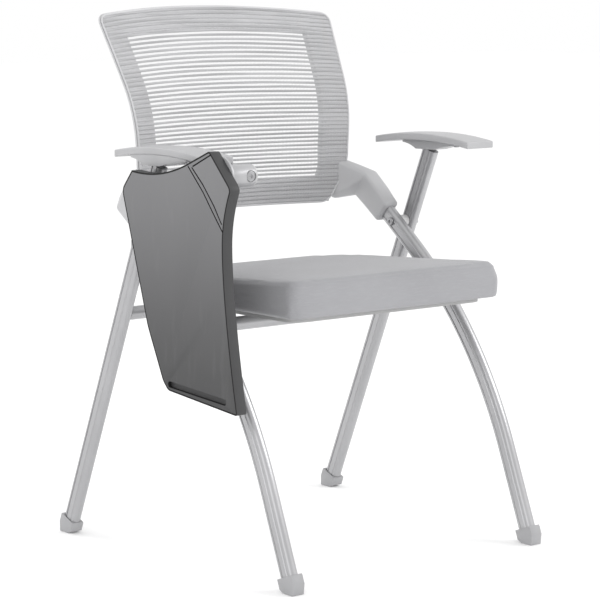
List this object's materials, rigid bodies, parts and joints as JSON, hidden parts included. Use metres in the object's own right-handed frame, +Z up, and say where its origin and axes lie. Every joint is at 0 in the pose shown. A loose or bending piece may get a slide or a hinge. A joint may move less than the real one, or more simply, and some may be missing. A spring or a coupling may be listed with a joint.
{
  "type": "folding student chair with writing tablet",
  "caption": "Folding chair with a curved mesh back, padded flip-up seat, arm pads, crossed side tubes and a swivelling writing tablet stowed beside the arm.",
  "frame": {"origin": "centre of the box on the floor", "axes": "+Z up, the chair faces -Y, +X is the sitter's left"},
  "size_m": [0.6298, 0.5794, 0.8743],
  "materials": {
    "tube_metal": "satin silver paint",
    "foot_plastic": "moulded, fine grain",
    "back_plastic": "moulded, fine grain",
    "back_mesh": "open knitted mesh with cross ribs",
    "hardware": "plated",
    "nylon": "plain",
    "arm_plastic": "moulded, fine grain",
    "seat_fabric": "fine woven cloth",
    "pan_plastic": "moulded",
    "rubber": "matt",
    "barrel_metal": "satin silver paint",
    "board_plastic": "moulded, fine grain, darker edges"
  },
  "bodies": {
    "front_frame": {"front_tube_left": "tube_metal", "front_tube_right": "tube_metal", "front_cross_tube": "tube_metal", "front_foot_left": "foot_plastic", "front_foot_right": "foot_plastic", "back_frame": "back_plastic", "back_mesh": "back_mesh", "mesh_edge_trim": "back_plastic", "back_screws": "hardware", "pivot_bolts": "hardware", "pivot_spacers": "nylon", "pivot_nuts": "hardware"},
    "rear_frame": {"rear_tube_left": "tube_metal", "rear_tube_right": "tube_metal", "rear_cross_tube": "tube_metal", "rear_foot_left": "foot_plastic", "rear_foot_right": "foot_plastic", "pivot_bushes": "nylon", "arm_support_left": "arm_plastic", "arm_support_right": "arm_plastic", "arm_pad_left": "arm_plastic", "arm_pad_right": "arm_plastic", "arm_screws": "hardware", "tablet_bracket": "tube_metal", "bracket_screws": "hardware", "tilt_pin": "hardware"},
    "seat": {"seat_cushion": "seat_fabric", "seat_pan": "pan_plastic", "seat_hinge_left": "pan_plastic", "seat_hinge_right": "pan_plastic", "seat_rests": "rubber", "seat_screws": "hardware"},
    "swivel": {"swivel_barrel": "barrel_metal", "barrel_cap": "nylon"},
    "tablet": {"tablet_board": "board_plastic", "tablet_flange": "barrel_metal", "swivel_spindle": "hardware", "spindle_ring": "hardware", "tablet_screws": "hardware"}
  },
  "joints": [
    {"name": "fold", "type": "hinge", "parent": "front_frame", "child": "rear_frame", "pos_m": [0.01085, 0.06352, 0.50475], "axis": [-1, 0, 0], "range_deg": [0, 45]},
    {"name": "seat_flip", "type": "hinge", "parent": "rear_frame", "child": "seat", "pos_m": [0.01085, 0.11403, 0.386], "axis": [-1, 0, 0], "range_deg": [0, 50]},
    {"name": "tablet_tilt", "type": "hinge", "parent": "rear_frame", "child": "swivel", "pos_m": [-0.25115, -0.1733, 0.625], "axis": [0, 1, 0], "range_deg": [0, 90]},
    {"name": "tablet_turn", "type": "hinge", "parent": "swivel", "child": "tablet", "pos_m": [-0.29685, -0.1733, 0.625], "axis": [-1, 0, 0], "range_deg": [0, 180]}
  ]
}
